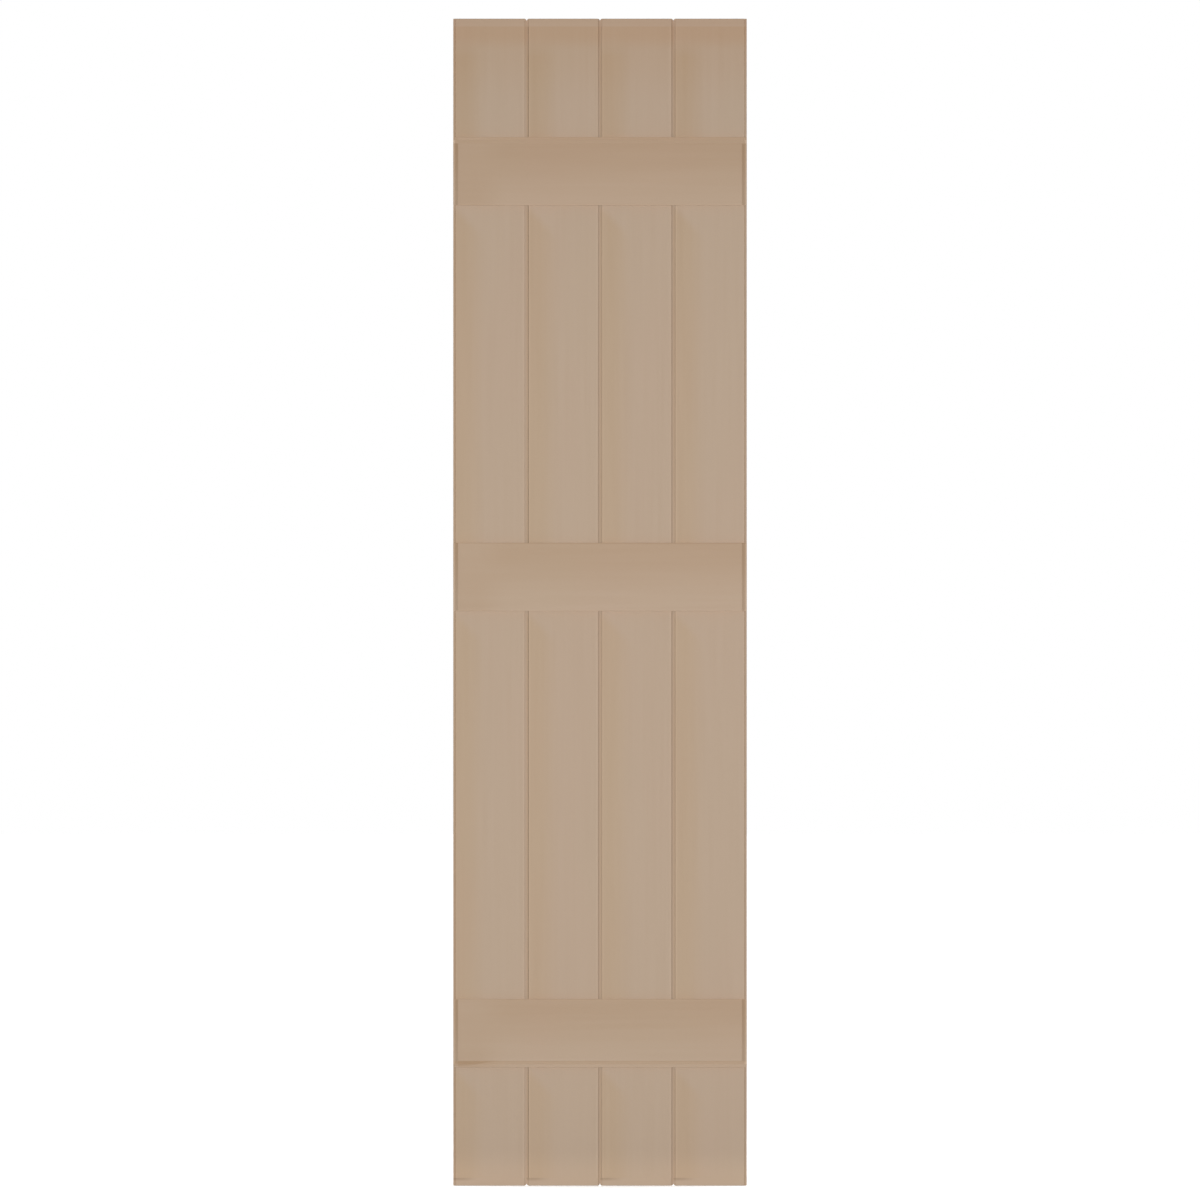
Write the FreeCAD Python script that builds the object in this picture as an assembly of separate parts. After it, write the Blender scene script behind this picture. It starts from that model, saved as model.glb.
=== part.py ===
"""Board and batten shutter: hollow vinyl boards joined edge to edge, with battens across their front.

Millimetres. X runs to the right seen from the front, Y runs from the front to the wall, Z runs up.
The origin is on the back face, at the middle of the shutter's width and height.
"""
import FreeCAD
import Part
import math
import os

from collections import namedtuple
from FreeCAD import Vector

# Overall size
shutter_width = 375.0
shutter_height = 1491.0

# Boards: hollow extrusions. The front face ends rebate_width from the middle of a joint and rim_width from
# the shutter's sides, and beside it the board is rebate_depth lower
board_count = 4
board_thickness = 16.0
board_wall = 2.2
board_web = 1.8
board_web_count = 2
board_arris = 0.5
back_arris = 0.6
rebate_width = 2.3
rim_width = 3.2
rebate_depth = 5.0

# Tongue and groove between neighbouring boards: the tongue's shoulder is the floor of the sunk joint, up to
# a seam along the next board's front face, and the groove's back cheek laps behind the shoulder
seam_gap = 0.5
tongue_length = 6.0
tongue_thickness = 3.6
tongue_nose = 0.8
groove_clearance = 0.3
back_lap = 8.0

# End caps that close the boards at the top and bottom
cap_height = 10.0
cap_setback = 0.3
cap_corner = 3.0
cap_arris = 0.8

# Battens: hollow extrusions that lie across the boards
batten_height = 87.0
batten_thickness = 10.0
batten_wall = 2.2
batten_web = 1.8
batten_web_count = 2
batten_arris = 0.3
end_batten_inset = 151.5
middle_batten_rise = 32.3

# Bevelled borders of the battens, each with a flat lip outside the bevel: at both ends of every batten,
# and along the outer edge of the top and bottom ones, where it sheds rain
bevel_drop = 2.4
edge_bevel = 4.4
edge_lip = 3.6
end_bevel = 4.0
end_lip = 2.3
lip_corner = 1.2

# Plugs by which every cap is pushed into the extrusion that it closes
plug_length = 12.0
plug_clearance = 0.25
plug_lead_in = 1.0

# Holes for the countersunk screws that hold the battens from behind
screw_head_radius = 4.0
screw_clearance_radius = 2.2
screw_pilot_radius = 1.6

# Places worked out from the sizes above
half_width = shutter_width / 2
half_height = shutter_height / 2
board_width = shutter_width / board_count
board_front = -board_thickness
board_end = half_height - cap_height
rebate_floor = rebate_depth - board_thickness
cap_front = cap_setback - board_thickness
batten_front = board_front - batten_thickness
lip_front = batten_front + bevel_drop
edge_border = edge_lip + edge_bevel
batten_cap_width = end_lip + end_bevel
batten_end = half_width - batten_cap_width
end_batten_centre = half_height - end_batten_inset - batten_height / 2

SAME_PLACE = 1e-6
FORWARD = Vector(0, -1, 0)

Batten = namedtuple("Batten", "name bottom top bevelled_bottom bevelled_top")


def batten_at(name, centre, bevelled_bottom, bevelled_top):
    """Batten of the common height, placed by its centre."""
    bottom = centre - batten_height / 2
    return Batten(name, bottom, bottom + batten_height, bevelled_bottom, bevelled_top)


battens = [
    batten_at("top_batten", end_batten_centre, False, True),
    batten_at("middle_batten", middle_batten_rise, False, False),
    batten_at("bottom_batten", -end_batten_centre, True, False),
]

board_lefts = [index * board_width - half_width for index in range(board_count)]
board_spans = [(left, left + board_width) for left in board_lefts]


def in_plan(height):
    """Maps the (x, y) points of an outline to the level plane at that height."""
    return lambda x, y: Vector(x, y, height)


def in_section(across):
    """Maps the (y, z) points of an outline to the upright plane at that place along X."""
    return lambda y, z: Vector(across, y, z)


def in_elevation(depth):
    """Maps the (x, z) points of an outline to the upright plane at that place along Y."""
    return lambda x, z: Vector(x, depth, z)


def rounded_wire(corners, plane):
    """Closed wire through (u, v, radius) corners, each rounded to its radius or left sharp at 0."""
    points = [plane(u, v) for u, v, _ in corners]
    edges = []
    arrivals = []
    departures = []
    for index, (_, _, radius) in enumerate(corners):
        corner = points[index]
        to_last = (points[index - 1] - corner).normalize()
        to_next = (points[(index + 1) % len(points)] - corner).normalize()
        half_angle = to_last.getAngle(to_next) / 2
        tangent = radius / math.tan(half_angle)
        arrivals.append(corner + to_last * tangent)
        departures.append(corner + to_next * tangent)
        if radius > 0:
            to_centre = (to_last + to_next).normalize()
            middle = corner + to_centre * (radius / math.sin(half_angle) - radius)
            edges.append(Part.Arc(arrivals[index], middle, departures[index]).toShape())
    for index in range(len(points)):
        edges.append(Part.makeLine(departures[index - 1], arrivals[index]))
    return Part.Wire(Part.__sortEdges__(edges))


def rectangle(low_u, low_v, high_u, high_v):
    """Sharp corners of a rectangle, for rounded_wire."""
    return [(low_u, low_v, 0), (high_u, low_v, 0), (high_u, high_v, 0), (low_u, high_v, 0)]


def extrusion(outline, plane, travel, openings=()):
    """Solid drawn along travel from an outline with openings in it."""
    wires = [rounded_wire(corners, plane) for corners in [outline, *openings]]
    return Part.makeFace(wires, "Part::FaceMakerBullseye").extrude(travel)


def chamber_spans(low, high, web, web_count):
    """Splits the hollow from low to high into equal chambers with webs between them."""
    chamber = (high - low - web * web_count) / (web_count + 1)
    starts = [low + index * (chamber + web) for index in range(web_count + 1)]
    return [(start, start + chamber) for start in starts]


def middle_of(span):
    """Middle of a (low, high) span."""
    return (span[0] + span[1]) / 2


def plug_between(low, high, axis):
    """Cap plug whose free end, the low one along the axis, is narrowed to lead it in."""
    size = high - low
    block = Part.makeBox(size.x, size.y, size.z, low)
    free_end = getattr(low, axis)
    rim = []
    for edge in block.Edges:
        if all(abs(getattr(vertex.Point, axis) - free_end) < SAME_PLACE for vertex in edge.Vertexes):
            rim.append(edge)
    return block.makeChamfer(plug_lead_in, rim)


def has_groove(left):
    """True for every board except the first one on the left."""
    return left > SAME_PLACE - half_width


def has_tongue(right):
    """True for every board except the last one on the right."""
    return right < half_width - SAME_PLACE


def board_chambers(left, right):
    """Spans along X of the chambers inside one board."""
    left_solid = tongue_length + groove_clearance if has_groove(left) else rim_width
    right_solid = back_lap if has_tongue(right) else rim_width
    low = left + left_solid + board_wall
    high = right - right_solid - board_wall
    return chamber_spans(low, high, board_web, board_web_count)


def batten_chambers(batten):
    """Spans along Z of the chambers inside one batten, kept clear of its bevelled edge."""
    low = batten.bottom + (edge_border if batten.bevelled_bottom else batten_wall)
    high = batten.top - (edge_border if batten.bevelled_top else batten_wall)
    return chamber_spans(low, high, batten_web, batten_web_count)


def screw_mouth(index, batten):
    """Where one board's screw for one batten enters from behind: low and high by turns along the batten."""
    columns = board_chambers(*board_spans[index])
    rows = batten_chambers(batten)
    row = rows[0] if index % 2 == 0 else rows[-1]
    return Vector(middle_of(columns[len(columns) // 2]), 0, middle_of(row))


def front_face(left, right):
    """Span along X of a board's front face, between its rebated edges."""
    face_left = left + (rebate_width if has_groove(left) else rim_width)
    face_right = right - (rebate_width if has_tongue(right) else rim_width)
    return face_left, face_right


def board_outline(left, right):
    """Board outline, with a tongue or groove on each edge that meets another board."""
    face_left, face_right = front_face(left, right)
    middle = rebate_floor / 2
    tongue = tongue_thickness / 2
    groove = tongue + groove_clearance
    back_left = left - back_lap if has_groove(left) else left
    back_right = right - back_lap if has_tongue(right) else right
    outline = [(back_left, 0, back_arris), (back_right, 0, back_arris)]
    if has_tongue(right):
        tip = right + tongue_length
        shoulder = right + rebate_width - seam_gap
        outline += [(back_right, middle + tongue, 0), (tip, middle + tongue, tongue_nose)]
        outline += [(tip, middle - tongue, tongue_nose), (shoulder, middle - tongue, 0)]
        outline += [(shoulder, rebate_floor, 0)]
    else:
        outline += [(right, rebate_floor, board_arris)]
    outline += [(face_right, rebate_floor, 0), (face_right, board_front, board_arris)]
    outline += [(face_left, board_front, board_arris)]
    if has_groove(left):
        bed = left + tongue_length + groove_clearance
        outline += [(face_left, middle - groove, 0), (bed, middle - groove, 0)]
        outline += [(bed, middle + groove, 0), (back_left, middle + groove, 0)]
    else:
        outline += [(face_left, rebate_floor, 0), (left, rebate_floor, board_arris)]
    return outline


def make_board(index):
    """One hollow board, from cap to cap, with a countersunk screw hole behind each batten."""
    left, right = board_spans[index]
    deep = board_front + board_wall
    openings = [rectangle(low, deep, high, -board_wall) for low, high in board_chambers(left, right)]
    travel = Vector(0, 0, 2 * board_end)
    board = extrusion(board_outline(left, right), in_plan(-board_end), travel, openings)
    taper = screw_head_radius - screw_clearance_radius
    for batten in battens:
        mouth = screw_mouth(index, batten)
        hole = Part.makeCylinder(screw_clearance_radius, board_thickness, mouth, FORWARD)
        sink = Part.makeCone(screw_head_radius, screw_clearance_radius, taper, mouth, FORWARD)
        board = board.cut([hole, sink])
    return board


def make_board_cap(index):
    """Cap for the top of one board: a head, rounded where it meets another, and a plug for each chamber."""
    left, right = board_spans[index]
    face_left, face_right = front_face(left, right)
    right_corner, right_arris = (cap_corner, 0) if has_tongue(right) else (cap_arris, board_arris)
    left_corner, left_arris = (cap_corner, 0) if has_groove(left) else (cap_arris, board_arris)
    plan = [(left, 0, back_arris), (right, 0, back_arris)]
    plan += [(right, rebate_floor, right_arris), (face_right, rebate_floor, 0)]
    plan += [(face_right, cap_front, board_arris), (face_left, cap_front, board_arris)]
    plan += [(face_left, rebate_floor, 0), (left, rebate_floor, left_arris)]
    front = [(left, board_end, 0), (right, board_end, 0)]
    front += [(right, half_height, right_corner), (left, half_height, left_corner)]
    side = [(cap_front, board_end, 0), (0, board_end, 0)]
    side += [(0, half_height, cap_arris), (cap_front, half_height, cap_arris)]
    cap = extrusion(plan, in_plan(board_end), Vector(0, 0, cap_height))
    cap = cap.common(extrusion(front, in_elevation(cap_front), Vector(0, -cap_front, 0)))
    cap = cap.common(extrusion(side, in_section(left), Vector(right - left, 0, 0)))
    deep = board_front + board_wall + plug_clearance
    shallow = -board_wall - plug_clearance
    for low, high in board_chambers(left, right):
        foot = Vector(low + plug_clearance, deep, board_end - plug_length)
        root = Vector(high - plug_clearance, shallow, board_end)
        cap = cap.fuse(plug_between(foot, root, "z"))
    return cap.removeSplitter()


def batten_outline(batten):
    """Batten outline, with its back on the boards and a bevel and lip at the edge that sheds rain."""
    outline = [(board_front, batten.bottom, 0), (board_front, batten.top, 0)]
    if batten.bevelled_top:
        outline += [(lip_front, batten.top, batten_arris), (lip_front, batten.top - edge_lip, 0)]
        outline += [(batten_front, batten.top - edge_border, batten_arris)]
    else:
        outline += [(batten_front, batten.top, batten_arris)]
    if batten.bevelled_bottom:
        outline += [(batten_front, batten.bottom + edge_border, batten_arris)]
        outline += [(lip_front, batten.bottom + edge_lip, 0), (lip_front, batten.bottom, batten_arris)]
    else:
        outline += [(batten_front, batten.bottom, batten_arris)]
    return outline


def make_batten(batten):
    """One hollow batten, from cap to cap, with pilot holes in its back wall."""
    deep = batten_front + batten_wall
    shallow = board_front - batten_wall
    openings = [rectangle(deep, low, shallow, high) for low, high in batten_chambers(batten)]
    travel = Vector(2 * batten_end, 0, 0)
    solid = extrusion(batten_outline(batten), in_section(-batten_end), travel, openings)
    for index in range(board_count):
        mouth = screw_mouth(index, batten) + FORWARD * board_thickness
        solid = solid.cut(Part.makeCylinder(screw_pilot_radius, batten_wall, mouth, FORWARD))
    return solid


def make_batten_cap(batten):
    """Cap for the right end of one batten: a bevelled head and a plug for each chamber."""
    front = [(batten_end, batten.bottom, 0), (half_width, batten.bottom, lip_corner)]
    front += [(half_width, batten.top, lip_corner), (batten_end, batten.top, 0)]
    plan = [(batten_end, board_front, 0), (batten_end, batten_front, 0)]
    plan += [(half_width - end_lip, lip_front, 0), (half_width, lip_front, batten_arris)]
    plan += [(half_width, board_front, 0)]
    cap = extrusion(batten_outline(batten), in_section(batten_end), Vector(batten_cap_width, 0, 0))
    cap = cap.common(extrusion(front, in_elevation(batten_front), Vector(0, batten_thickness, 0)))
    cap = cap.common(extrusion(plan, in_plan(batten.bottom), Vector(0, 0, batten_height)))
    deep = batten_front + batten_wall + plug_clearance
    shallow = board_front - batten_wall - plug_clearance
    for low, high in batten_chambers(batten):
        foot = Vector(batten_end - plug_length, deep, low + plug_clearance)
        root = Vector(batten_end, shallow, high - plug_clearance)
        cap = cap.fuse(plug_between(foot, root, "x"))
    return cap.removeSplitter()


def write(name, shape):
    """Writes one piece as its own STEP file."""
    shape.exportStep("parts/" + name + ".step")


os.makedirs("parts", exist_ok=True)

for index in range(board_count):
    name = "board_" + str(index + 1)
    top_cap = make_board_cap(index)
    write(name, make_board(index))
    write(name + "_top_cap", top_cap)
    write(name + "_bottom_cap", top_cap.mirror(Vector(0, 0, 0), Vector(0, 0, 1)))

for batten in battens:
    right_cap = make_batten_cap(batten)
    write(batten.name, make_batten(batten))
    write(batten.name + "_right_cap", right_cap)
    write(batten.name + "_left_cap", right_cap.mirror(Vector(0, 0, 0), Vector(1, 0, 0)))
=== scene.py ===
import math

import bmesh
import bpy
from mathutils import Matrix, Vector


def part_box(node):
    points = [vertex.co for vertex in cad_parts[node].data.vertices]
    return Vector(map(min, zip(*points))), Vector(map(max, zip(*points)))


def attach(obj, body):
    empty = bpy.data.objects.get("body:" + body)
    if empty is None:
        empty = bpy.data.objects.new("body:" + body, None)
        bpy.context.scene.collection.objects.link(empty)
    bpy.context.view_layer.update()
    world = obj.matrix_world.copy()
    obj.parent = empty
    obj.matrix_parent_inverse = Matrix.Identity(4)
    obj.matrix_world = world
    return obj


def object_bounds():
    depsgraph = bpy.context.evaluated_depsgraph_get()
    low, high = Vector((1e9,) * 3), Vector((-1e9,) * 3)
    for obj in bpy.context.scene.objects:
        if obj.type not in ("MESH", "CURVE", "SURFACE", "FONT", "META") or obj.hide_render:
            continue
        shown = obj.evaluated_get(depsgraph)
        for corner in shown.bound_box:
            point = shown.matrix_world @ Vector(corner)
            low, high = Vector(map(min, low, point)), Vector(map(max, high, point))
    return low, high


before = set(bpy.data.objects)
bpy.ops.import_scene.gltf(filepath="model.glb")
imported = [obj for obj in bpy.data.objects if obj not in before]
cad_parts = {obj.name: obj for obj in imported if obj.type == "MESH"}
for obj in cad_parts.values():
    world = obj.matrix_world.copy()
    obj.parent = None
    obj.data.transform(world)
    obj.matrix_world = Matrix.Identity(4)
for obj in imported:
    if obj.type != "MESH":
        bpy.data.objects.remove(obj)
cad_low, cad_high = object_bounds()


def srgb(red, green, blue):
    """Linear colour, with alpha, of an sRGB colour given as 0 to 255."""
    out = []
    for value in (red / 255, green / 255, blue / 255):
        out.append(value / 12.92 if value <= 0.04045 else ((value + 0.055) / 1.055) ** 2.4)
    return (*out, 1.0)


# The photograph: a square frame, in metres at the shutter, seen straight on from far away
PHOTO_SIZE = 1.5337
PHOTO_CENTRE_Z = 0.0028
CAMERA_DISTANCE = 40.0
CAMERA_REACH = 200.0
SENSOR_MM = 36.0

# Sizes of the boards and battens that the looks follow, in metres
BOARD_COUNT = 4
BOARD_PITCH = (cad_high.x - cad_low.x) / BOARD_COUNT
BOARD_FRONT = -0.016
REBATE_FLOOR = -0.011
REBATE_WIDTH = 0.0023
RIM_WIDTH = 0.0032
SEAM_FLOOR = -0.0073
GROOVE_DEPTH = 0.0063
BACK_LAP = 0.008
BATTENS = ("top_batten", "middle_batten", "bottom_batten")
BATTEN_CHAMBERS = 3
BATTEN_WALL = 0.0022
BATTEN_WEB = 0.0018
EDGE_BORDER = 0.008
EDGE_LIP = 0.0036
END_BORDER = 0.0063

# Countersunk screws that hold the battens from behind
HEAD_RADIUS = 0.0037
HEAD_DEPTH = 0.0018
HEAD_SUNK = 0.0001
HEAD_EDGE = 0.00015
SHANK_RADIUS = 0.0019
THREAD_RADIUS = 0.00155
THREAD_START = -0.0155
THREAD_END = -0.021
TIP_RADIUS = 0.0004
TIP_LENGTH = 0.0015
RECESS_REACH = 0.0021
RECESS_HALF_WIDTH = 0.00052
RECESS_DEPTH = 0.0013
RECESS_TAPER = 0.55
ROUND_STEPS = 32
SHARP_EDGE = math.radians(35)
SCREW_TURN = 2.4

# Vinyl: its tan on the boards and battens, and what multiplies it from place to place. The clouds and
# streaks vary its tone; the other multipliers are painted shade, shadow, light and highlight
TAN = srgb(185, 161, 137)
BATTEN_TAN = srgb(187, 162, 137)
# Painted shade: a yellower, darker strip down the left side of each board
LEFT_STRIP_SHADE = (0.987, 0.957, 0.887, 1.0)
# Painted shade: that strip made deeper on the upper boards
UPPER_STRIP_SHADE = (0.972, 0.958, 0.937, 1.0)
# Painted shade over the top panel of the boards, fading downwards
PANEL_TOP_SHADE = (0.992, 0.957, 0.912, 1.0)
# Painted shade close under the top cap
UNDER_CAP_SHADE = (0.983, 0.915, 0.840, 1.0)
# Painted light: each board paler towards its foot
FOOT_LIGHT = (1.130, 1.120, 1.100, 1.0)
# Painted shade on the top caps
TOP_CAP_SHADE = (1.005, 0.945, 0.895, 1.0)
# Painted light on the foot caps
FOOT_CAP_LIGHT = (1.140, 1.130, 1.110, 1.0)
# Painted shade on the battens, deepest towards the top edge
BATTEN_SHADE = (0.918, 0.868, 0.800, 1.0)
# More painted shade on the top batten
TOP_BATTEN_SHADE = (0.985, 0.965, 0.945, 1.0)
# Painted light on the battens' two outer bevels
BEVEL_LIGHT = (1.150, 1.150, 1.150, 1.0)
# Painted highlight along front edges
EDGE_HIGHLIGHT = (1.050, 1.050, 1.050, 1.0)
# Painted shade in the sunk rebates, and on the bottom batten's lip
FAINT_SHADE = (0.970, 0.960, 0.950, 1.0)
# Painted shadow at the foot of the rim and joint walls
WALL_SHADOW = (0.820, 0.790, 0.760, 1.0)
# Painted shadow in the left corner of each foot cap
CORNER_SHADOW = (0.800, 0.765, 0.710, 1.0)
# Painted shadow: a wedge on the bottom batten's border, and a line along the middle batten's upper edge
WEDGE_SHADOW = (0.900, 0.865, 0.815, 1.0)
# Painted shade in the seams between the boards
SEAM_SHADE = (0.440, 0.400, 0.360, 1.0)
ROSY = (1.004, 0.993, 0.996, 1.0)
STREAK = (0.9960, 0.9955, 0.9950, 1.0)

# Where each tint fades from none to full: metres along an axis or from an edge, or shares of a size
FRONT_Y = (-0.004, REBATE_FLOOR)
RECESS_SHADE_Y = (BOARD_FRONT + 0.0002, BOARD_FRONT + 0.0030)
UPPER_LEFT_Z = (0.22, 0.65)
STRIP_ACROSS = (0.48, 0.14)
CORNER_ACROSS = (0.36, 0.06)
SHADE_HEIGHT = (0.05, 0.92)
HIGHLIGHT_HEIGHT = (0.024, 0.010)
STRIP_BELOW_BATTEN = (-0.008, 0.012)
STRIP_BELOW_CAP = (0.014, 0.042)
PANEL_BELOW_CAP = (0.105, 0.030)
SHADE_BELOW_CAP = (0.034, 0.010)
PALE_ABOVE_FOOT = (0.040, 0.0)
CORNER_BELOW_BOARD = (0.0050, 0.0010)
HIGHLIGHT_FROM_JOINT = (0.0057, 0.0037)
WALL_SHADE_FROM_JOINT = (0.0004, 0.0014)
WALL_SHADE_FROM_SIDE = (0.0006, 0.0026)
TONE_FROM_LEFT = (0.075, 0.025)
WEDGE_FROM_LEFT = (0.060, 0.006)

# The painted wedge of shadow: its depth at its point and at the shutter's left, and the blur of its edge
WEDGE_DEPTH = (0.0005, 0.0065)
WEDGE_BLUR = (0.0008, -0.0008)

# The height of the middle batten's painted shadow line, the rounded edges' depth, where the painted recess
# shade ends, and where the painted seam shade lies
LEDGE_HEIGHT = 0.002
ARRIS_DEPTH = 0.0006
RECESS_SHADE_END_Y = REBATE_FLOOR + 0.0005
SEAM_SHADE_Y = (REBATE_FLOOR + 0.0002, SEAM_FLOOR + 0.0002)

# Shares of the painted batten shade at the left end, and of the painted seam shade in the middle and right
# seams
LEFT_END_SHADE = 0.6
RIGHT_SEAM_SHADE = 0.1

# The vinyl's surface: streaks drawn along it, faint clouds, and a fine unevenness
ALONG_X = 0
ALONG_Z = 2
EVEN = (1.0, 1.0, 1.0)
STREAK_STRETCH = 0.02
STREAK_SCALE = 260.0
STREAK_DETAIL = 4.0
STREAK_RANGE = (0.35, 0.7)
STREAK_BUMP = 0.6
CLOUD_STRETCH = (1.0, 1.0, 0.4)
CLOUD_SCALE = 9.0
CLOUD_RANGE = (0.42, 0.62)
PEEL_SCALE = 900.0
SOFT_DETAIL = 2.0
SCUFF = 0.10
VINYL_ROUGHNESS = 0.53
VINYL_SPECULAR = 0.35
BUMP_DISTANCE = 0.00002

# The screws' steel
ZINC = srgb(205, 203, 196)
DULLED = srgb(205, 200, 185)
PATCH_SCALE = 6.0
PATCH_RANGE = (0.4, 0.65)
GRAIN_STRETCH = (1.0, 8.0, 1.0)
GRAIN_SCALE = 14.0
STEEL_DETAIL = 3.0
POLISH_RANGE = (0.35, 0.7)
STEEL_ROUGHNESS = (0.24, 0.42)

# The floor: its size, the light it throws back, and how white it looks by the distance from the origin
FLOOR_HALF = 60.0
FLOOR_GAP = 0.0005
FLOOR_ROUGHNESS = 0.9
FLOOR_BOUNCE = 0.25
FLOOR_SEEN = 0.61
LIFT_DISTANCE = (0.9, 4.0)
LIFT = (0.66, 0.93)

# The lamps, all turned to the origin: a far one in front, two soft ones behind, and an even light around
WHITE = (1.0, 1.0, 1.0, 1.0)
WORLD_LIGHT = 0.11
KEY_PLACE = (0.0, -28.0, 0.1)
KEY_RADIUS = 0.45
KEY_CONE = math.radians(8.04)
KEY_POWER = 22700.0
BACK_LEFT_PLACE = (-3.2, 2.0, 1.6)
BACK_RIGHT_PLACE = (3.2, 2.0, 1.6)
BACK_SIZE = 2.0
BACK_POWER = 85.0


class Shader:
    """One node material, with short calls for the nodes that it is made of."""

    def __init__(self, name):
        self.material = bpy.data.materials.new(name)
        self.material.use_nodes = True
        self.nodes = self.material.node_tree.nodes
        self.links = self.material.node_tree.links
        self.surface = self.nodes["Principled BSDF"]

    def node(self, kind, inputs=None, **settings):
        """A new node with its settings; each input is a value or another node's output."""
        made = self.nodes.new(kind)
        for key, value in settings.items():
            setattr(made, key, value)
        for key, value in (inputs or {}).items():
            self.feed(made.inputs[key], value)
        return made

    def feed(self, socket, value):
        """Links an output to a socket, or sets the socket to a plain value."""
        if isinstance(value, bpy.types.NodeSocket):
            self.links.new(value, socket)
        else:
            socket.default_value = value

    def place(self, kind="Object"):
        """Texture coordinates of that kind."""
        return self.node("ShaderNodeTexCoord").outputs[kind]

    def split(self, vector):
        """The three parts of a vector."""
        return self.node("ShaderNodeSeparateXYZ", {0: vector}).outputs

    def math(self, operation, first, second=0.0, third=0.0):
        """One step of arithmetic."""
        made = self.node("ShaderNodeMath", {0: first, 1: second, 2: third}, operation=operation)
        return made.outputs[0]

    def times(self, first, second):
        """Product of two factors."""
        return self.math("MULTIPLY", first, second)

    def minus(self, first, second):
        """Difference of two values."""
        return self.math("SUBTRACT", first, second)

    def larger(self, first, second):
        """The larger of two values."""
        return self.math("MAXIMUM", first, second)

    def under(self, value, limit):
        """1 where the value is less than the limit, and 0 elsewhere."""
        return self.math("LESS_THAN", value, limit)

    def over(self, value, limit):
        """1 where the value is more than the limit, and 0 elsewhere."""
        return self.math("GREATER_THAN", value, limit)

    def between(self, value, low, high):
        """1 where the value is from low to high, and 0 elsewhere."""
        return self.math("COMPARE", value, (low + high) / 2, (high - low) / 2)

    def ramp(self, value, span, results=(0.0, 1.0)):
        """A smooth change from the first result to the second while the value goes along the span."""
        inputs = {"Value": value, "From Min": span[0], "From Max": span[1]}
        inputs.update({"To Min": results[0], "To Max": results[1]})
        return self.node("ShaderNodeMapRange", inputs, interpolation_type="SMOOTHSTEP").outputs[0]

    def noise(self, place, stretch, scale, detail):
        """Noise from about 0.3 to 0.7, in a space stretched along each axis."""
        mapped = self.node("ShaderNodeMapping", {"Vector": place, "Scale": stretch}).outputs[0]
        inputs = {"Vector": mapped, "Scale": scale, "Detail": detail}
        return self.node("ShaderNodeTexNoise", inputs).outputs["Fac"]

    def tint(self, colour, factor, multiplier):
        """A colour times a multiplier, as far as the factor says.

        The node has the same socket names for each type of data, so its colour sockets go by number.
        """
        made = self.node("ShaderNodeMix", data_type="RGBA", blend_type="MULTIPLY")
        self.feed(made.inputs[0], factor)
        self.feed(made.inputs[6], colour)
        self.feed(made.inputs[7], multiplier)
        return made.outputs[2]

    def bump(self, height):
        """Bends the surface's normals by a height, where 1 stands for BUMP_DISTANCE."""
        made = self.node("ShaderNodeBump", {"Height": height, "Distance": BUMP_DISTANCE})
        self.feed(self.surface.inputs["Normal"], made.outputs[0])


def vinyl(name, run_axis, tone):
    """Smooth extruded vinyl, drawn along run_axis; tone gives its colour from the shader and the place."""
    shader = Shader(name)
    place = shader.place()
    drawn_out = list(EVEN)
    drawn_out[run_axis] = STREAK_STRETCH
    streaks = shader.noise(place, drawn_out, STREAK_SCALE, STREAK_DETAIL)
    clouds = shader.noise(place, CLOUD_STRETCH, CLOUD_SCALE, SOFT_DETAIL)
    peel = shader.noise(place, EVEN, PEEL_SCALE, SOFT_DETAIL)
    colour = tone(shader, place)
    colour = shader.tint(colour, shader.ramp(clouds, CLOUD_RANGE), ROSY)
    colour = shader.tint(colour, shader.ramp(streaks, STREAK_RANGE), STREAK)
    shader.feed(shader.surface.inputs["Base Color"], colour)
    scuffed = shader.math("MULTIPLY_ADD", streaks, SCUFF, VINYL_ROUGHNESS)
    shader.feed(shader.surface.inputs["Roughness"], scuffed)
    shader.surface.inputs["Specular IOR Level"].default_value = VINYL_SPECULAR
    shader.bump(shader.math("MULTIPLY_ADD", streaks, STREAK_BUMP, peel))
    return shader.material


def across_board(shader, x):
    """How far across its own board a place is, from 0 at the left to 1 at the right."""
    from_left = shader.minus(x, cad_low.x)
    return shader.math("FRACT", shader.math("DIVIDE", from_left, BOARD_PITCH))


def left_shade_strip(shader, x, z):
    """A strip of painted shade down the left of each board, mitred below each batten and gone below the top
    cap.
    """
    across = across_board(shader, x)
    strip = shader.ramp(across, STRIP_ACROSS)
    from_left = shader.times(across, BOARD_PITCH)
    for batten in BATTENS:
        below = shader.minus(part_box(batten)[0].z, z)
        mitre = shader.ramp(shader.minus(below, from_left), STRIP_BELOW_BATTEN)
        strip = shader.times(strip, shader.larger(mitre, shader.under(below, 0.0)))
    below_cap = shader.minus(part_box("board_1")[1].z, z)
    return shader.times(strip, shader.ramp(below_cap, STRIP_BELOW_CAP))


def right_joints(shader, x):
    """1 about the middle joint and the right one, and 0 about the left joint and the outer rims."""
    return shader.between(x, -BOARD_PITCH / 2, cad_high.x - BOARD_PITCH / 2)


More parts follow.
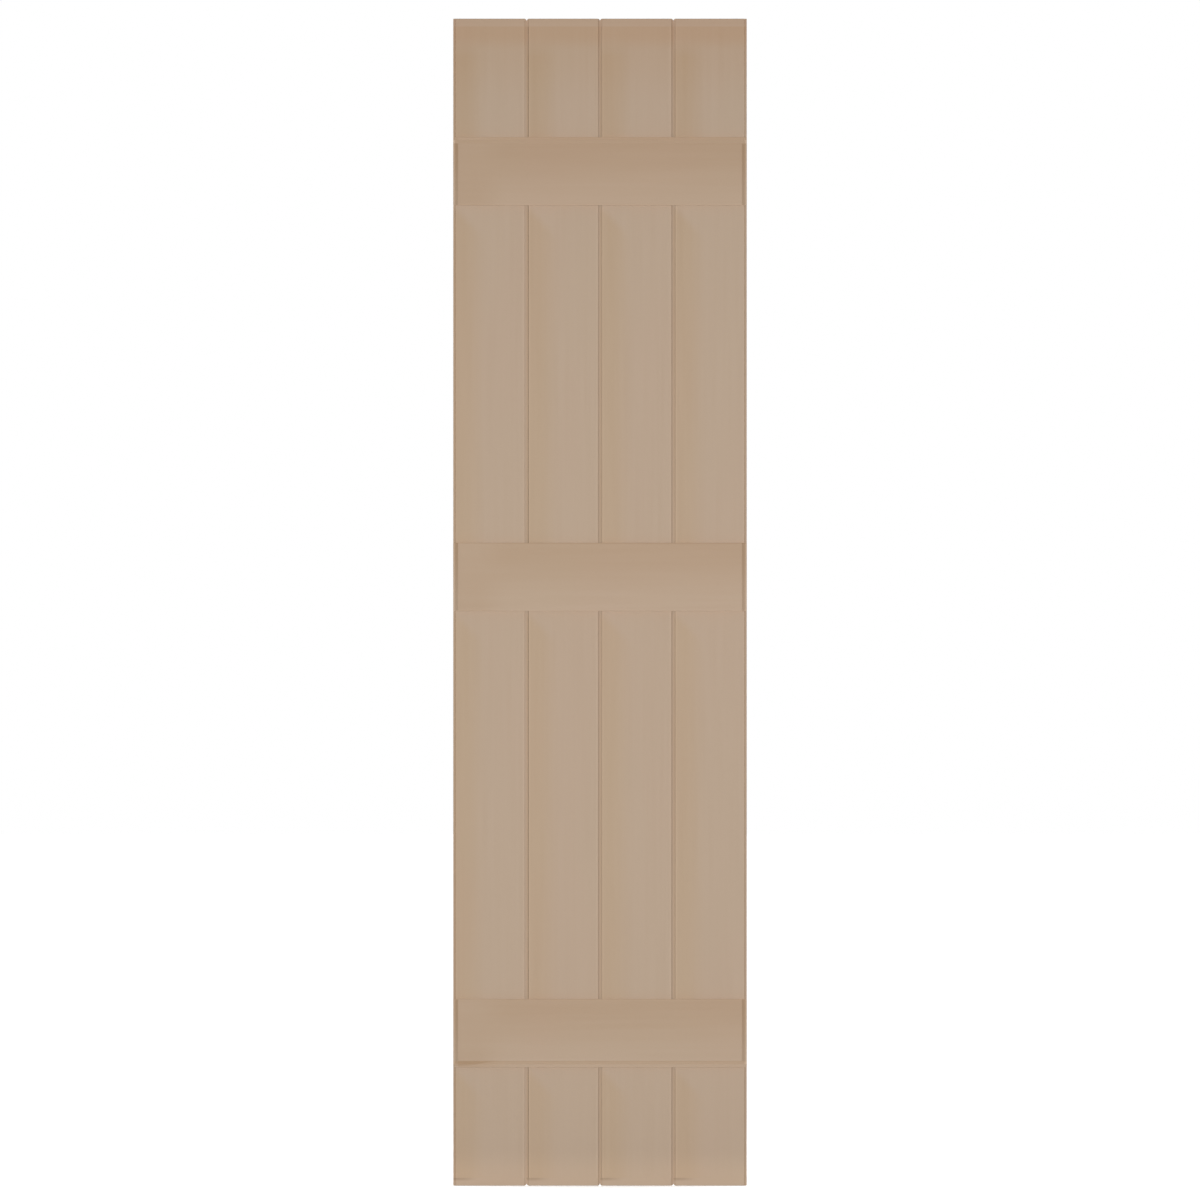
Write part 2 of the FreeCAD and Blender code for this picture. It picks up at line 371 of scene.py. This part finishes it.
def recess_shade(shader, colour, x, y):
    """Painted shade in the sunk joints and rims, with a painted shadow along the foot of a wall.

    The shadow lies at the wall of each rim, and at the left wall of the middle and right joints.
    """
    # Painted shade in the sunk rebates, and painted shadow along the foot of their walls
    low_down = shader.times(shader.ramp(y, RECESS_SHADE_Y), shader.under(y, RECESS_SHADE_END_Y))
    from_side = shader.minus(cad_high.x, shader.math("ABSOLUTE", x))
    rim = shader.times(shader.ramp(from_side, WALL_SHADE_FROM_SIDE), shader.under(from_side, RIM_WIDTH))
    to_joint = shader.times(shader.minus(1.0, across_board(shader, x)), BOARD_PITCH)
    joint = shader.times(shader.ramp(to_joint, WALL_SHADE_FROM_JOINT), shader.under(to_joint, REBATE_WIDTH))
    joint = shader.times(joint, right_joints(shader, x))
    foot = shader.times(shader.larger(rim, joint), low_down)
    colour = shader.tint(colour, low_down, FAINT_SHADE)
    return shader.tint(colour, foot, WALL_SHADOW)


def board_tone(shader, place):
    """On the front, painted shade, yellower along each board's left side and deeper below its top cap;
    painted light at its foot.

    The front's edges get a painted highlight, and the seams between the boards painted shade, mostly the
    left one.
    """
    x, y, z = shader.split(place)
    low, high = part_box("board_1")
    front = shader.ramp(y, FRONT_Y)
    face = shader.under(y, BOARD_FRONT + ARRIS_DEPTH)
    # Painted shade down the left of each board, deeper on the upper boards
    left = shader.times(left_shade_strip(shader, x, z), front)
    upper_strip_shade = shader.times(left, shader.ramp(z, UPPER_LEFT_Z))
    # Painted shade under the top cap, over the top panel and deepest near the cap
    below_cap = shader.minus(high.z, z)
    panel_top_shade = shader.times(shader.ramp(below_cap, PANEL_BELOW_CAP), front)
    shade = shader.times(shader.ramp(below_cap, SHADE_BELOW_CAP), front)
    # Painted light, paler towards the foot
    foot = shader.times(shader.ramp(shader.minus(z, low.z), PALE_ABOVE_FOOT), front)
    # Painted highlight along each board's front edges beside the joints
    from_joint = shader.math("PINGPONG", shader.minus(x, cad_low.x), BOARD_PITCH / 2)
    edge = shader.times(shader.ramp(from_joint, HIGHLIGHT_FROM_JOINT), face)
    # Painted shade in the seams between the boards, mostly the left one
    seam = shader.between(y, *SEAM_SHADE_Y)
    seam = shader.times(seam, shader.under(shader.math("ABSOLUTE", x), cad_high.x - RIM_WIDTH))
    share = shader.ramp(right_joints(shader, x), (0.0, 1.0), (1.0, RIGHT_SEAM_SHADE))
    colour = shader.tint(TAN, left, LEFT_STRIP_SHADE)
    colour = shader.tint(colour, upper_strip_shade, UPPER_STRIP_SHADE)
    colour = shader.tint(colour, panel_top_shade, PANEL_TOP_SHADE)
    colour = shader.tint(colour, shade, UNDER_CAP_SHADE)
    colour = shader.tint(colour, foot, FOOT_LIGHT)
    colour = shader.tint(colour, edge, EDGE_HIGHLIGHT)
    colour = shader.tint(colour, shader.times(seam, share), SEAM_SHADE)
    return recess_shade(shader, colour, x, y)


def cap_tone(shader, place):
    """Painted light makes the foot caps paler and painted shade the top caps darker, with a painted shadow
    in the left corner of each foot.
    """
    x, y, z = shader.split(place)
    front = shader.ramp(y, FRONT_Y)
    foot = shader.times(shader.under(z, 0.0), front)
    top = shader.times(shader.over(z, 0.0), front)
    left = shader.ramp(across_board(shader, x), CORNER_ACROSS)
    below_board = shader.minus(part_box("board_1")[0].z, z)
    corner = shader.times(left, shader.ramp(below_board, CORNER_BELOW_BOARD))
    # Painted light on the foot caps, painted shade on the top caps, and a painted corner shadow
    colour = shader.tint(TAN, foot, FOOT_CAP_LIGHT)
    colour = shader.tint(colour, top, TOP_CAP_SHADE)
    colour = shader.tint(colour, shader.times(corner, foot), CORNER_SHADOW)
    return recess_shade(shader, colour, x, y)


def batten_tone(shader, place):
    """Painted shade, deeper towards a batten's top edge and middling at its left end; painted light on two
    bevels.

    Edges get a painted highlight, except the middle batten's upper edge, which gets a painted shadow line.
    The bottom batten's lip gets a little painted shade, with a painted wedge of shadow from the left corner
    of its border.
    """
    x, _, z = shader.split(place)
    height = shader.split(shader.place("Generated"))[2]
    from_left = shader.minus(x, cad_low.x)
    top_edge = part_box("top_batten")[1].z
    middle_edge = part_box("middle_batten")[1].z
    bottom_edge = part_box("bottom_batten")[0].z

    # The two outer bevels, given painted light and kept out of the painted shade
    top_bevel = shader.between(z, top_edge - EDGE_BORDER, top_edge - EDGE_LIP)
    bottom_bevel = shader.between(z, bottom_edge + EDGE_LIP, bottom_edge + EDGE_BORDER)
    left = shader.times(shader.ramp(from_left, TONE_FROM_LEFT), shader.over(from_left, END_BORDER))
    # Painted shade, deeper towards the top edge, middling at the left end and none on the top bevel
    shade = shader.ramp(height, SHADE_HEIGHT)
    shade = shader.math("MULTIPLY_ADD", left, shader.minus(LEFT_END_SHADE, shade), shade)
    shade = shader.times(shade, shader.minus(1.0, top_bevel))

    # A painted wedge of shadow from the left corner of the bottom batten's border
    border = shader.minus(bottom_edge + EDGE_BORDER, z)
    depth = shader.ramp(from_left, WEDGE_FROM_LEFT, WEDGE_DEPTH)
    wedge = shader.times(shader.ramp(shader.minus(border, depth), WEDGE_BLUR), shader.over(border, 0.0))
    # The bottom batten's lip, which gets a little painted shade
    lip = shader.between(z, bottom_edge, bottom_edge + EDGE_LIP)

    # A painted shadow line along the middle batten's upper edge
    ledge = shader.between(z, middle_edge - LEDGE_HEIGHT, middle_edge)
    # Painted highlight along a batten's top and bottom edges
    edge = shader.ramp(shader.math("PINGPONG", height, 0.5), HIGHLIGHT_HEIGHT)
    edge = shader.times(edge, shader.minus(1.0, ledge))
    ledge = shader.times(ledge, shader.ramp(z, (middle_edge - LEDGE_HEIGHT, middle_edge)))

    colour = shader.tint(BATTEN_TAN, shade, BATTEN_SHADE)
    colour = shader.tint(colour, shader.over(z, middle_edge), TOP_BATTEN_SHADE)
    colour = shader.tint(colour, shader.larger(top_bevel, bottom_bevel), BEVEL_LIGHT)
    colour = shader.tint(colour, edge, EDGE_HIGHLIGHT)
    colour = shader.tint(colour, lip, FAINT_SHADE)
    return shader.tint(colour, shader.larger(wedge, ledge), WEDGE_SHADOW)


def steel():
    """Zinc-plated steel with a turned grain and dull patches."""
    shader = Shader("screw_steel")
    place = shader.place("Generated")
    patches = shader.noise(place, EVEN, PATCH_SCALE, STEEL_DETAIL)
    grain = shader.noise(place, GRAIN_STRETCH, GRAIN_SCALE, STEEL_DETAIL)
    colour = shader.tint(ZINC, shader.ramp(patches, PATCH_RANGE), DULLED)
    shader.feed(shader.surface.inputs["Base Color"], colour)
    shader.feed(shader.surface.inputs["Roughness"], shader.ramp(patches, POLISH_RANGE, STEEL_ROUGHNESS))
    shader.surface.inputs["Metallic"].default_value = 1.0
    shader.bump(grain)
    return shader.material


def dress(node, material):
    """Gives every slot of a CAD node one material."""
    for slot in node.material_slots:
        slot.material = material


def dress_all():
    """Vinyl for the boards, caps and battens, each drawn along its own length."""
    board_vinyl = vinyl("board_vinyl", ALONG_Z, board_tone)
    cap_vinyl = vinyl("cap_vinyl", ALONG_X, cap_tone)
    batten_vinyl = vinyl("batten_vinyl", ALONG_X, batten_tone)
    for name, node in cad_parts.items():
        if "batten" in name:
            dress(node, batten_vinyl)
        elif "cap" in name:
            dress(node, cap_vinyl)
        else:
            dress(node, board_vinyl)


def ring(mesh, radius, depth):
    """A round of vertices about the Y axis."""
    turns = [2 * math.pi * step / ROUND_STEPS for step in range(ROUND_STEPS)]
    return [mesh.verts.new((radius * math.cos(turn), depth, radius * math.sin(turn))) for turn in turns]


def cross(mesh, size, depth):
    """The outline of a cross about the Y axis, four arms of one width."""
    reach = RECESS_REACH * size
    half = RECESS_HALF_WIDTH * size
    corners = [(reach, -half), (reach, half), (half, half)]
    points = []
    for quarter in range(4):
        turned = Matrix.Rotation(quarter * math.pi / 2, 2)
        points += [turned @ Vector(corner) for corner in corners]
    return [mesh.verts.new((point.x, depth, point.y)) for point in points]


def join_loops(mesh, first, second):
    """Faces between two loops that have the same number of vertices."""
    for index in range(len(first)):
        mesh.faces.new((first[index - 1], first[index], second[index], second[index - 1]))


def loop_edges(mesh, loop):
    """Edges around a loop of vertices."""
    return [mesh.edges.get((loop[index - 1], loop[index])) for index in range(len(loop))]


def screw_mesh():
    """A countersunk screw with a cross recess, its head at Y 0 and its tip towards the front."""
    mesh = bmesh.new()
    profile = [(HEAD_RADIUS - HEAD_EDGE, -HEAD_SUNK), (HEAD_RADIUS, -HEAD_SUNK - HEAD_EDGE)]
    profile += [(SHANK_RADIUS, -HEAD_DEPTH), (SHANK_RADIUS, THREAD_START)]
    profile += [(THREAD_RADIUS, THREAD_START - HEAD_EDGE), (THREAD_RADIUS, THREAD_END)]
    profile += [(TIP_RADIUS, THREAD_END - TIP_LENGTH)]
    rings = [ring(mesh, radius, depth) for radius, depth in profile]
    for index in range(len(rings) - 1):
        join_loops(mesh, rings[index], rings[index + 1])
    mesh.faces.new(rings[-1])
    mouth = cross(mesh, 1.0, -HEAD_SUNK)
    floor = cross(mesh, RECESS_TAPER, -HEAD_SUNK - RECESS_DEPTH)
    join_loops(mesh, mouth, floor)
    mesh.faces.new(floor)
    rim = loop_edges(mesh, rings[0]) + loop_edges(mesh, mouth)
    bmesh.ops.triangle_fill(mesh, edges=rim, use_beauty=True)
    bmesh.ops.recalc_face_normals(mesh, faces=mesh.faces)
    for face in mesh.faces:
        face.smooth = len(face.verts) == 4
    for edge in mesh.edges:
        edge.smooth = edge.calc_face_angle(0.0) < SHARP_EDGE
    data = bpy.data.meshes.new("screw")
    mesh.to_mesh(data)
    mesh.free()
    data.materials.append(steel())
    return data


def screw_column(index):
    """Middle of a board's hollow, which its groove and lap put off the board's own middle."""
    left_solid = RIM_WIDTH if index == 0 else GROOVE_DEPTH
    right_solid = RIM_WIDTH if index == BOARD_COUNT - 1 else BACK_LAP
    middle = cad_low.x + (index + 0.5) * BOARD_PITCH
    return middle + (left_solid - right_solid) / 2


def screw_rows(batten):
    """Middles of a batten's lowest and highest chambers."""
    low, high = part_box(batten)
    bottom = low.z + (EDGE_BORDER if batten == "bottom_batten" else BATTEN_WALL)
    top = high.z - (EDGE_BORDER if batten == "top_batten" else BATTEN_WALL)
    open_height = top - bottom - (BATTEN_CHAMBERS - 1) * BATTEN_WEB
    half_chamber = open_height / BATTEN_CHAMBERS / 2
    return bottom + half_chamber, top - half_chamber


def add_screws():
    """One screw for each board and batten, low and high by turns, each stopped at its own angle."""
    mesh = screw_mesh()
    turns = 0
    for batten in BATTENS:
        rows = screw_rows(batten)
        for index in range(BOARD_COUNT):
            turns += SCREW_TURN
            screw = bpy.data.objects.new(f"{batten}_screw_{index + 1}", mesh)
            bpy.context.scene.collection.objects.link(screw)
            screw.location = (screw_column(index), cad_high.y, rows[index % 2])
            screw.rotation_euler.y = turns
            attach(screw, "root")


def add_floor():
    """A wide pale floor, white to the camera apart from a soft shadow, that throws little light back up."""
    half = FLOOR_HALF
    level = cad_low.z - FLOOR_GAP
    mesh = bpy.data.meshes.new("floor")
    corners = [(-half, -half, level), (half, -half, level), (half, half, level), (-half, half, level)]
    mesh.from_pydata(corners, [], [(0, 1, 2, 3)])
    floor = bpy.data.objects.new("floor", mesh)
    bpy.context.scene.collection.objects.link(floor)
    shader = Shader("floor_white")
    shader.surface.inputs["Roughness"].default_value = FLOOR_ROUGHNESS
    path = shader.node("ShaderNodeLightPath")
    seen = shader.larger(path.outputs["Is Camera Ray"], path.outputs["Is Glossy Ray"])
    seen = shader.larger(seen, path.outputs["Is Transmission Ray"])
    paleness = shader.math("MULTIPLY_ADD", seen, FLOOR_SEEN, FLOOR_BOUNCE)
    shader.feed(shader.surface.inputs["Base Color"], paleness)
    away = shader.node("ShaderNodeVectorMath", {0: shader.place()}, operation="LENGTH").outputs["Value"]
    lift = shader.times(seen, shader.ramp(away, LIFT_DISTANCE, LIFT))
    white = shader.node("ShaderNodeEmission", {"Color": WHITE, "Strength": lift})
    both = shader.node("ShaderNodeAddShader", {0: shader.surface.outputs[0], 1: white.outputs[0]})
    shader.links.new(both.outputs[0], shader.nodes["Material Output"].inputs["Surface"])
    mesh.materials.append(shader.material)


def add_world():
    """White where it is seen, and a weak even light on the object."""
    world = bpy.data.worlds.new("studio")
    bpy.context.scene.world = world
    world.use_nodes = True
    nodes = world.node_tree.nodes
    links = world.node_tree.links
    path = nodes.new("ShaderNodeLightPath")
    seen = path.outputs["Is Camera Ray"]
    for ray in ("Is Glossy Ray", "Is Transmission Ray"):
        either = nodes.new("ShaderNodeMath")
        either.operation = "MAXIMUM"
        links.new(seen, either.inputs[0])
        links.new(path.outputs[ray], either.inputs[1])
        seen = either.outputs[0]
    strength = nodes.new("ShaderNodeMapRange")
    strength.inputs["To Min"].default_value = WORLD_LIGHT
    strength.inputs["To Max"].default_value = 1.0
    links.new(seen, strength.inputs["Value"])
    background = nodes["Background"]
    background.inputs["Color"].default_value = WHITE
    links.new(strength.outputs[0], background.inputs["Strength"])


def place_lamp(name, data, place):
    """Puts a lamp at a place, turned to the origin, out of the camera's sight."""
    lamp = bpy.data.objects.new(name, data)
    lamp.location = place
    lamp.rotation_euler = (-Vector(place)).to_track_quat("-Z", "Y").to_euler()
    lamp.visible_camera = False
    bpy.context.scene.collection.objects.link(lamp)


def add_key():
    """A round lamp whose light falls off smoothly from the middle of its cone to the edge."""
    data = bpy.data.lights.new("key", "SPOT")
    data.spot_size = KEY_CONE
    data.spot_blend = 1.0
    data.shadow_soft_size = KEY_RADIUS
    data.energy = KEY_POWER
    place_lamp("key", data, KEY_PLACE)


def add_softbox(name, place):
    """A square soft lamp."""
    data = bpy.data.lights.new(name, "AREA")
    data.shape = "SQUARE"
    data.size = BACK_SIZE
    data.energy = BACK_POWER
    place_lamp(name, data, place)


def add_camera():
    """Straight on to the front, from far away, framed as the photograph is."""
    data = bpy.data.cameras.new("camera")
    data.sensor_width = SENSOR_MM
    data.lens = SENSOR_MM * CAMERA_DISTANCE / PHOTO_SIZE
    data.clip_end = CAMERA_REACH
    camera = bpy.data.objects.new("camera", data)
    camera.location = (0.0, -CAMERA_DISTANCE, PHOTO_CENTRE_Z)
    camera.rotation_euler = (math.radians(90), 0.0, 0.0)
    bpy.context.scene.collection.objects.link(camera)
    bpy.context.scene.camera = camera


dress_all()
add_screws()
add_floor()
add_world()
add_key()
add_softbox("back_left", BACK_LEFT_PLACE)
add_softbox("back_right", BACK_RIGHT_PLACE)
add_camera()
bpy.context.scene.view_settings.view_transform = "Standard"
